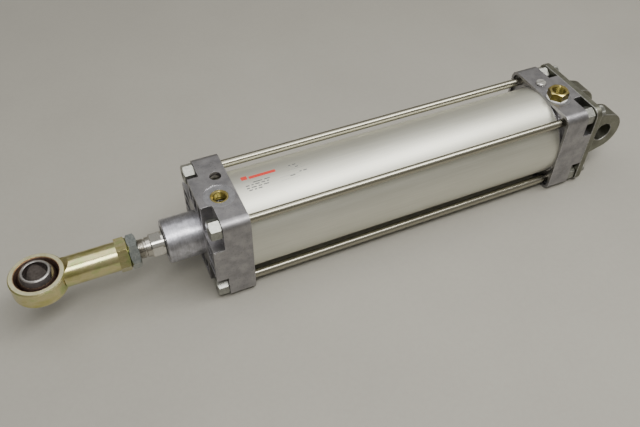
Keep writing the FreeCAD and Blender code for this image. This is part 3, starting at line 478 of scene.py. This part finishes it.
def softened(node, width, edge_finish, least, main_finish=None):
    """The CAD node's own shape with its sharp edges rounded, where they are longer than least."""
    weld = 2e-6
    nearly_flat = math.radians(0.6)
    corner = math.radians(35)
    mesh = bmesh.new()
    mesh.from_mesh(nodes[node].data)
    bmesh.ops.remove_doubles(mesh, verts=mesh.verts, dist=weld)
    bmesh.ops.dissolve_limit(mesh, angle_limit=nearly_flat, verts=mesh.verts, edges=mesh.edges)
    for face in mesh.faces:
        face.material_index = 0
    sharp = [edge for edge in mesh.edges if edge.is_manifold
             and edge.calc_face_angle() > corner and edge.calc_length() > least]
    bmesh.ops.bevel(mesh, geom=sharp, offset=width, offset_type="OFFSET", segments=3,
                    profile=0.5, affect="EDGES", clamp_overlap=True, material=1)
    bmesh.ops.dissolve_degenerate(mesh, edges=mesh.edges, dist=MERGE)
    return replace_node(node, mesh, [main_finish or slot_of(node), edge_finish], sharp=40)


# ---------------------------------------------------------------- covers and clevis

def finish_spot_face(piece, port, index):
    """The machined ring round a port takes a finish of its own."""
    shallow = 0.3 * MM
    deep = 1.2 * MM
    ring_radius = 21 * MM
    low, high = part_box(port)
    port_x, port_y = (low.x + high.x) / 2, (low.y + high.y) / 2
    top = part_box("front_cover")[1].z
    for face in piece.data.polygons:
        reach = math.hypot(face.center.x - port_x, face.center.y - port_y)
        depth = top - face.center.z
        if face.normal.z > 0.9 and shallow < depth < deep and reach < ring_radius:
            face.material_index = index


def cover(node, port):
    """Casting with rubbed edges and a machined spot face round its port."""
    piece = softened(node, 1.0 * MM, "cover_edges", 0.9 * MM)
    piece.data.materials.append(finish["spot_machined"])
    finish_spot_face(piece, port, 2)


def rod_guide_housing():
    """The boss: a turned sleeve with a chamfered nose, seated in the front cover."""
    low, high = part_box("rod_guide_housing")
    radius = high.z
    edge = 1.2 * MM
    round_edge = 0.35 * MM
    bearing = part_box("rod_bearing")
    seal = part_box("rod_seal")
    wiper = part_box("rod_wiper")
    bores = [(low.x, bearing[1].z), (bearing[1].x, bearing[1].z), (bearing[1].x, seal[1].z),
             (seal[1].x, seal[1].z), (seal[1].x, wiper[1].z), (high.x - edge / 2, wiper[1].z)]
    rings = [ring(station, bore) for station, bore in bores]
    rings += [ring(high.x, wiper[1].z + edge / 2), ring(high.x, radius - edge - round_edge)]
    rings += [ring(high.x - round_edge, radius - edge + round_edge)]
    rings += [ring(high.x - edge + round_edge, radius - round_edge)]
    rings += [ring(high.x - edge - round_edge, radius)]
    steps = 8
    for step in range(steps):
        rings.append(ring(high.x - edge + (low.x - high.x + edge) * (step + 1) / steps, radius))
    replace_node("rod_guide_housing", ring_bmesh(rings, Vector(), closed=True))


def rear_clevis():
    """Cast plate and lugs with slightly paler edges."""
    softened("rear_clevis", 1.1 * MM, "clevis_edges", 1.2 * MM)


# ---------------------------------------------------------------- barrel, tie rods, nuts

def barrel():
    """Round tube with softened ends."""
    wall = 4 * MM
    low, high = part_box("barrel")
    outer = high.z
    inner = outer - wall
    edge = 0.5 * MM
    steps = 24
    rings = [ring(low.x, inner), ring(low.x, outer - edge)]
    for step in range(steps + 1):
        share = step / steps
        rings.append(ring(low.x + edge + (high.x - low.x - 2 * edge) * share, outer))
    rings += [ring(high.x, outer - edge), ring(high.x, inner)]
    replace_node("barrel", ring_bmesh(rings, Vector(), closed=True))


def tie_rods():
    """Four drawn rods, threaded at both ends."""
    grip = 18 * MM
    tip = 1 * MM
    depth = 0.9 * MM
    steps = 20
    for node in sorted(nodes):
        if not node.startswith("tie_rod_") or "nuts" in node:
            continue
        low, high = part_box(node)
        centre = Vector((0, (low.y + high.y) / 2, (low.z + high.z) / 2))
        radius = (high.z - low.z) / 2
        rings = [ring(low.x, 0, count=SLIM_ROUND), ring(low.x, radius - tip, count=SLIM_ROUND)]
        rings += thread(low.x + tip, low.x + grip, radius, depth, M12_PITCH, count=SLIM_ROUND)
        for step in range(1, steps):
            station = low.x + grip + (high.x - low.x - 2 * grip) * step / steps
            rings.append(ring(station, radius, count=SLIM_ROUND))
        rings += thread(high.x - grip, high.x - tip, radius, depth, M12_PITCH, count=SLIM_ROUND)
        rings += [ring(high.x, radius - tip, count=SLIM_ROUND), ring(high.x, 0, count=SLIM_ROUND)]
        replace_node(node, ring_bmesh(rings, centre))


def hexagon_rings(start, end, flats, round_start, round_end):
    """Hexagon between two stations; its corners are cut back by a cone where an end is rounded."""
    face = flats * HEX_FACE
    slope_start = -CHAMFER_SLOPE if round_start else 0.0
    slope_end = CHAMFER_SLOPE if round_end else 0.0
    opening = ring(start, flats, flats, lean=slope_start, lean_from=face)
    closing = ring(end, flats, flats, lean=slope_end, lean_from=face)
    return [ring(start, face), opening, closing, ring(end, face)]


def four_corners():
    """Axes of the four tie rods, where the corner nuts and bolts sit."""
    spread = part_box("tie_rod_top_left")
    middle = (spread[0].z + spread[1].z) / 2
    return [Vector((0, y, z)) for y in (middle, -middle) for z in (middle, -middle)]


def corner_nuts(node, outwards, bore, threaded):
    """Hexagon in the cover's corner pocket, round shank behind it, tapped bore in front."""
    low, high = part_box(node)
    flats = 24 * MM
    head = 15.2 * MM
    shank = 9 * MM
    edge = 0.5 * MM
    countersink = 1 * MM
    rod_hole = 6.1 * MM
    rod_depth = 8 * MM
    thread_start = 1.2 * MM
    thread_end = 14 * MM
    thread_depth = 0.5 * MM
    pitch = 1.5 * MM
    outer = high.x if outwards > 0 else -low.x
    inner = low.x if outwards > 0 else -high.x
    whole = bmesh.new()
    for centre in four_corners():
        rings = [ring(inner, rod_hole), ring(inner, shank - edge), ring(inner + edge, shank)]
        rings += [ring(outer - head, shank)]
        rings += hexagon_rings(outer - head, outer, flats, True, True)
        rings += [ring(outer, bore + countersink), ring(outer - countersink, bore)]
        if threaded:
            rings += thread(outer - thread_start, outer - thread_end, bore, -thread_depth, pitch, rows=6)
        rings += [ring(inner + rod_depth, bore), ring(inner + rod_depth, rod_hole)]
        if outwards < 0:
            rings = [[(-station, radius) for station, radius in points] for points in rings]
        join_into(whole, ring_bmesh(rings, centre, first_angle=math.radians(30), closed=True))
    bmesh.ops.recalc_face_normals(whole, faces=whole.faces)
    replace_node(node, whole)


def clevis_bolts():
    """Four socket head screws, knurled round the head, that hold the clevis plate."""
    low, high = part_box("clevis_bolts")
    head = 12 * MM
    radius = 9 * MM
    shank = 6 * MM
    socket = 10 * MM
    edge = 0.9 * MM
    knurl = 0.25 * MM
    socket_depth = 6 * MM
    mouth = 0.6 * MM
    collar = 0.4 * MM
    tip = 1 * MM
    plain_shank = 10.5 * MM
    socket_floor = low.x + socket_depth
    seat = low.x + head
    ridges = [radius - knurl * (index % 2) for index in range(ROUND)]
    whole = bmesh.new()
    for centre in four_corners():
        rings = [ring(socket_floor, 0), ring(socket_floor, socket, socket)]
        rings += [ring(low.x + mouth, socket, socket), ring(low.x, socket / 2 + 2 * mouth)]
        rings += [ring(low.x, radius - edge), ring(low.x + edge * 0.3, radius - edge * 0.3)]
        rings += [ring(low.x + edge, radius)]
        for station in (low.x + edge + 0.2 * MM, seat - 2 * MM):
            rings.append([(station, reach) for reach in ridges])
        rings += [ring(seat - 4 * collar, radius), ring(seat - collar, radius)]
        rings += [ring(seat, radius - collar), ring(seat, shank)]
        rings += thread(seat + plain_shank, high.x - tip, shank, 0.8 * MM, M12_PITCH)
        rings += [ring(high.x, shank - tip), ring(high.x, 0)]
        join_into(whole, ring_bmesh(rings, centre))
    bmesh.ops.recalc_face_normals(whole, faces=whole.faces)
    replace_node("clevis_bolts", whole)


# ---------------------------------------------------------------- rod, locknut, rod eye

def piston_rod():
    """Chromed rod: stem for the piston, four spanner flats, a relief groove and the M27 thread."""
    low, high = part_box("piston_rod")
    radius = high.z
    stem = 12 * MM
    stem_edge = 1 * MM
    core = 13.5 * MM
    thread_length = 54 * MM
    thread_depth = 1.1 * MM
    pitch = 2 * MM
    tip = 1.5 * MM
    flats = 28 * MM
    flats_length = 15 * MM
    bevel = 1.4 * MM
    neck = 6 * MM
    neck_edge = 0.6 * MM
    groove_end = 7.6 * MM
    groove_depth = 1.6 * MM
    thread_start = 8 * MM
    thread_edge = 0.2 * MM
    turned_edge = 1.5 * MM
    steps = 16
    shoulder = high.x - thread_length
    flats_start = shoulder - flats_length
    piston_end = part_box("piston_half_front")[1].x
    rings = [ring(low.x, 0), ring(low.x, stem - stem_edge), ring(low.x + stem_edge, stem)]
    rings += [ring(piston_end, stem), ring(piston_end, radius)]
    for step in range(1, steps):
        rings.append(ring(piston_end + (flats_start - piston_end) * step / steps, radius))
    rings += [ring(flats_start, radius), ring(flats_start, radius, flats, 4)]
    rings += [ring(shoulder - bevel, radius, flats, 4), ring(shoulder, radius - bevel, flats, 4)]
    rings += [ring(shoulder, core), ring(shoulder + neck - neck_edge, core)]
    rings += [ring(shoulder + neck, core - neck_edge), ring(shoulder + neck, core - groove_depth)]
    rings += [ring(shoulder + groove_end, core - groove_depth)]
    rings += [ring(shoulder + thread_start, core - thread_edge)]
    rings += thread(shoulder + thread_start, high.x - tip, core, thread_depth, pitch)
    rings += [ring(high.x - tip, core), ring(high.x, core - tip), ring(high.x, 0)]
    mesh = ring_bmesh(rings, Vector(), first_angle=math.radians(45))
    paint_faces(mesh, 1, lambda face: face.calc_center_median().x > shoulder - turned_edge)
    replace_node("piston_rod", mesh, ["rod_chrome", "rod_turned"])


def rod_locknut():
    """Thin hexagon nut, rounded on both sides and countersunk."""
    low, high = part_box("rod_locknut")
    flats = 41 * MM
    bore = 13.6 * MM
    sink_depth = 1.2 * MM
    sink_width = 1.4 * MM
    rings = [ring(low.x + sink_depth, bore), ring(low.x, bore + sink_width)]
    rings += hexagon_rings(low.x, high.x, flats, True, True)
    rings += [ring(high.x, bore + sink_width), ring(high.x - sink_depth, bore)]
    mesh = ring_bmesh(rings, Vector(), first_angle=math.radians(4), closed=True)
    replace_node("rod_locknut", mesh)


def rod_end_housing():
    """The forged eye with rounded edges; its machined ring faces take the paler coat."""
    half_width = 12.5 * MM
    near = 0.2 * MM
    piece = softened("rod_end_housing", 0.8 * MM, "eye_yellow_zinc", 0.8 * MM)
    piece.data.materials.append(finish["eye_ring_face"])
    for face in piece.data.polygons:
        if abs(face.normal.z) > 0.98 and abs(abs(face.center.z) - half_width) < near:
            face.material_index = 2


def rod_end_liner():
    """Bearing race: a thin bronze lip at each face, and a darker bronze painted for shade where it holds
    the ball.
    """
    low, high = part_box("rod_end_liner")
    ball_low, ball_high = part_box("rod_end_ball")
    centre = Vector(((low.x + high.x) / 2, 0, 0))
    outer = (high.x - low.x) / 2
    half = high.z
    socket = (ball_high.x - ball_low.x) / 2 + 0.05 * MM
    grip = 5.5 * MM
    lip = 0.7 * MM
    steps = 8
    rings = [ring(-half, outer - lip), ring(-half, outer), ring(half, outer), ring(half, outer - lip)]
    rings += [ring(half - lip, outer - 2 * lip)]
    for step in range(steps + 1):
        station = grip - 2 * grip * step / steps
        rings.append(ring(station, math.sqrt(socket ** 2 - station ** 2)))
    rings += [ring(-half + lip, outer - 2 * lip)]
    mesh = ring_bmesh(rings, centre, axis="Z", closed=True)
    # faces below the lips take the darker bronze as painted shade round the ball
    paint_faces(mesh, 1, lambda face: abs(face.calc_center_median().z) < half - lip)
    replace_node("rod_end_liner", mesh, ["liner_bronze", "race_painted_shade"])


def rod_end_ball():
    """Hard steel ball, flat at both faces, with a bevelled bore for the pin."""
    low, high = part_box("rod_end_ball")
    centre = Vector(((low.x + high.x) / 2, 0, 0))
    radius = (high.x - low.x) / 2
    half = high.z
    bore = 15 * MM
    bevel = 0.8 * MM
    rim = 0.2 * MM
    rim_height = 0.15 * MM
    face_depth = 1 * MM
    steps = 28
    rings = [ring(-half + bevel, bore), ring(-half, bore + bevel)]
    land = math.sqrt(radius ** 2 - half ** 2)
    rings += [ring(-half, land - rim)]
    reach = math.asin((half - rim_height) / radius)
    for step in range(steps + 1):
        angle = -reach + 2 * reach * step / steps
        rings.append(ring(radius * math.sin(angle), radius * math.cos(angle)))
    rings += [ring(half, land - rim), ring(half, bore + bevel), ring(half - bevel, bore)]
    mesh = ring_bmesh(rings, centre, axis="Z", closed=True)
    paint_faces(mesh, 1, lambda face: abs(face.normal.z) > 0.6
                and abs(face.calc_center_median().z) > half - face_depth)
    replace_node("rod_end_ball", mesh, ["ball_steel", "ball_face"])


# ---------------------------------------------------------------- ports and cushion screws

def front_bush():
    """Reducing bush: a rim at the spot face, thread outside and inside."""
    low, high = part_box("port_bush_front")
    centre = Vector(((low.x + high.x) / 2, (low.y + high.y) / 2, 0))
    rim = (high.x - low.x) / 2
    rim_height = 2 * MM
    stem = 10.45 * MM
    bore = 7.5 * MM
    tapped = bore + PORT_THREAD
    tip = 1 * MM
    edge = 0.5 * MM
    countersink = 1.4 * MM
    bore_end = bore + 1.6 * MM
    rim_end = high.z - rim_height
    rings = [ring(low.z, bore), ring(low.z, stem - tip)]
    rings += thread(low.z + tip, rim_end, stem, PORT_THREAD, PORT_PITCH)
    rings += [ring(rim_end, rim), ring(high.z - edge, rim), ring(high.z, rim - edge)]
    rings += [ring(high.z, tapped + countersink), ring(high.z - countersink, tapped)]
    rings += thread(high.z - countersink, low.z + tip, tapped, PORT_THREAD, PORT_PITCH, rows=10)
    mesh = ring_bmesh(rings, centre, axis="Z", closed=True)
    # faces in the bore take the dark brass, painted shade inside the bore
    paint_faces(mesh, 1, lambda face: (face.calc_center_median() - centre).xy.length < bore_end)
    replace_node("port_bush_front", mesh, ["port_brass", "brass_painted_shade"])


def cushion_screws():
    """Slotted throttle screws; the front one takes a dark copy of the screw steel, painted shade for its
    place deep in its hole.
    """
    rounding = 0.25 * MM
    least = 0.4 * MM
    # the front screw takes the dark copy of the steel as painted shade
    softened("cushion_screw_front", rounding, "screw_painted_shade", least, main_finish="screw_painted_shade")
    softened("cushion_screw_rear", rounding, "screw_steel", least)


def rear_adaptor():
    """Brass hexagon with a tapped bore, standing on its washer."""
    low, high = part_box("port_adaptor_rear")
    centre = Vector(((low.x + high.x) / 2, (low.y + high.y) / 2, 0))
    stem = ADAPTOR_STEM
    flats = 27 * MM
    bore = 8.3 * MM
    tapped = bore + 1.05 * MM
    tip = 0.6 * MM
    countersink = 1.5 * MM
    mouth = bore + 2.2 * MM
    thread_stop = low.z + 2 * MM
    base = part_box("port_washer_rear")[1].z + 0.05 * MM
    rings = [ring(low.z, bore), ring(low.z, stem - tip), ring(low.z + tip, stem), ring(base, stem)]
    rings += hexagon_rings(base, high.z, flats, False, True)
    rings += [ring(high.z, mouth), ring(high.z - countersink, tapped)]
    rings += thread(high.z - countersink, thread_stop, tapped, PORT_THREAD, PORT_PITCH, rows=10)
    mesh = ring_bmesh(rings, centre, axis="Z", first_angle=math.radians(12), closed=True)
    bore_end = bore + 1.5 * MM
    # the bore and every face not facing up take the dark brass: painted shade in the bore and on the
    # hexagon's sides
    paint_faces(mesh, 1, lambda face: face.normal.z < 0.5
                or (face.calc_center_median() - centre).xy.length < bore_end)
    replace_node("port_adaptor_rear", mesh, ["port_brass", "brass_painted_shade"])


def rear_washer():
    """White plastic ring under the adaptor, with rounded rims."""
    low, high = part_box("port_washer_rear")
    port_low, port_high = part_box("port_adaptor_rear")
    centre = Vector(((port_low.x + port_high.x) / 2, (port_low.y + port_high.y) / 2, 0))
    radius = (high.x - low.x) / 2
    hole = ADAPTOR_STEM + 0.1 * MM
    rounding = 0.5 * MM
    rings = [ring(low.z, hole), ring(low.z, radius - rounding), ring(low.z + rounding, radius)]
    rings += [ring(high.z - rounding, radius), ring(high.z, radius - rounding), ring(high.z, hole)]
    replace_node("port_washer_rear", ring_bmesh(rings, centre, axis="Z", closed=True), sharp=50)


def add_patch(mesh, from_cover, length, across, height):
    """One thin patch of ink; from_cover runs along the barrel, across runs round it from the top."""
    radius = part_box("barrel")[1].z
    cover_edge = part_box("front_cover")[0].x + 6 * MM
    below = 0.02 * MM
    above = 0.05 * MM
    pieces = max(2, int(length / (4 * MM)))
    slices = max(1, int(height / (1.0 * MM)))
    grids = []
    for level in (radius - below, radius + above):
        grid = []
        for i in range(pieces + 1):
            station = cover_edge - from_cover - length * i / pieces
            row = []
            for j in range(slices + 1):
                angle = (across + height * j / slices) / radius
                row.append(mesh.verts.new((station, level * math.sin(angle), level * math.cos(angle))))
            grid.append(row)
        grids.append(grid)
    low, high = grids
    for i in range(pieces):
        for j in range(slices):
            mesh.faces.new((high[i][j], high[i + 1][j], high[i + 1][j + 1], high[i][j + 1]))
            mesh.faces.new((low[i][j], low[i][j + 1], low[i + 1][j + 1], low[i + 1][j]))
        for j in (0, slices):
            mesh.faces.new((low[i][j], low[i + 1][j], high[i + 1][j], high[i][j]))
    for j in range(slices):
        for i in (0, pieces):
            mesh.faces.new((low[i][j], low[i][j + 1], high[i][j + 1], high[i][j]))


def print_piece(name, patches, ink_name):
    """Patches as (from cover, length, across, height) in millimetres, in one ink."""
    mesh = bmesh.new()
    for values in patches:
        add_patch(mesh, *(value * MM for value in values))
    bmesh.ops.recalc_face_normals(mesh, faces=mesh.faces)
    stand(name, mesh, "barrel", [ink_name])


def printed_marks():
    """Generic print near the front: a plain red bar, short dashes in rows and thin table lines."""
    dash_height = 1.5
    dash_gap = 2.5
    line_height = 0.35
    print_piece("print_red_bars", [(13.5, 8, -9, 7), (24, 37, -6.5, 5)], "print_red")
    # Each row: how far round the barrel, where it starts, and the lengths of its dashes.
    rows = [(5, 26, (13, 8)), (8.8, 15, (5, 3, 6, 5, 3)), (12.8, 15, (4, 7, 5, 7)), (16.4, 17, (5, 3, 5))]
    rows += [(-6, 80, (3, 5)), (-1, 88, (4,)), (12, 76, (7,)), (9, 90, (3, 5))]
    dashes = []
    for across, position, lengths in rows:
        for length in lengths:
            dashes.append((position, length, across, dash_height))
            position += length + dash_gap
    print_piece("print_dark_dashes", dashes, "print_grey")
    starts = [(62, 28, 11), (62, 26, 16), (76, 22, -3), (76, 24, 3)]
    lines = [(position, length, across, line_height) for position, length, across in starts]
    print_piece("print_thin_lines", lines, "print_line")


def carry_over_nodes():
    """CAD nodes whose shape already suits them take their slot's finish."""
    for node in nodes.values():
        for holder in node.material_slots:
            holder.material = finish[holder.material.name.split(".")[0]]


# ---------------------------------------------------------------- stage

def floor():
    """Wide plain floor just under the covers' lower faces."""
    segments = 24
    half_side = 9.0
    middle = 0.4
    clearance = 0.05 * MM
    mesh = bmesh.new()
    bmesh.ops.create_grid(mesh, x_segments=segments, y_segments=segments, size=half_side)
    bmesh.ops.translate(mesh, verts=mesh.verts, vec=(middle, 0, FLOOR_LEVEL - clearance))
    data = bpy.data.meshes.new("floor")
    mesh.to_mesh(data)
    mesh.free()
    data.materials.append(finish["floor_pale"])
    plane = bpy.data.objects.new("floor", data)
    bpy.context.scene.collection.objects.link(plane)


def area_light(name, place, aim, width, depth, power, colour):
    """A rectangular soft light at a place, turned towards its aim."""
    light = bpy.data.lights.new(name, "AREA")
    light.shape = "RECTANGLE"
    light.size = width
    light.size_y = depth
    light.energy = power
    light.color = colour
    lamp = bpy.data.objects.new(name, light)
    lamp.location = place
    direction = Vector(aim) - Vector(place)
    lamp.rotation_euler = direction.to_track_quat("-Z", "Y").to_euler()
    bpy.context.scene.collection.objects.link(lamp)


def lights():
    """A long soft light in front of the barrel's top line and a dimmer one behind it."""
    height = 1.5
    warm = (1.0, 0.985, 0.945)
    neutral = (1.0, 0.99, 0.97)
    area_light("overhead_soft", (0.15, 0.56, height), (0.38, 0.0, 0.0), 2.3, 0.5, 30, warm)
    area_light("back_soft", (0.35, -0.22, height), (0.4, 0.0, 0.0), 2.4, 1.02, 11, neutral)


def room():
    """Soft surroundings, darker below and brighter towards the ceiling."""
    world = bpy.data.worlds.new("soft_room")
    world.use_nodes = True
    links = world.node_tree.links
    backdrop = world.node_tree.nodes["Background"]
    place = world.node_tree.nodes.new("ShaderNodeTexCoord")
    split = world.node_tree.nodes.new("ShaderNodeSeparateXYZ")
    ramp = world.node_tree.nodes.new("ShaderNodeValToRGB")
    links.new(place.outputs["Generated"], split.inputs["Vector"])
    links.new(split.outputs["Z"], ramp.inputs["Fac"])
    stops = ((0.0, shade(0.27, 0.25, 0.205)), (0.9, shade(0.60, 0.592, 0.555)))
    for element, (position, colour) in zip(ramp.color_ramp.elements, stops):
        element.position = position
        element.color = colour
    links.new(ramp.outputs["Color"], backdrop.inputs["Color"])
    backdrop.inputs["Strength"].default_value = 0.75
    bpy.context.scene.world = world


def camera():
    """View from the front right, looking down along the cylinder."""
    focal_length = 39.10
    sensor = 36.0
    turn = (43.624, -0.846, 155.871)
    lens = bpy.data.cameras.new("camera")
    lens.lens = focal_length
    lens.sensor_width = sensor
    lens.clip_start = 0.01
    viewer = bpy.data.objects.new("camera", lens)
    viewer.location = (0.7576, 0.6332, 0.6933)
    viewer.rotation_euler = Euler([math.radians(angle) for angle in turn], "XYZ")
    bpy.context.scene.collection.objects.link(viewer)
    bpy.context.scene.camera = viewer


make_finishes()
carry_over_nodes()
cover("front_cover", "port_bush_front")
rod_guide_housing()
cover("rear_cover", "port_adaptor_rear")
rear_clevis()
barrel()
tie_rods()
corner_nuts("tie_rod_nuts_front", 1, 5.1 * MM, True)
corner_nuts("tie_rod_nuts_rear", -1, 6.1 * MM, False)
clevis_bolts()
piston_rod()
rod_locknut()
rod_end_housing()
rod_end_liner()
rod_end_ball()
front_bush()
rear_adaptor()
rear_washer()
cushion_screws()
printed_marks()
floor()
lights()
room()
camera()
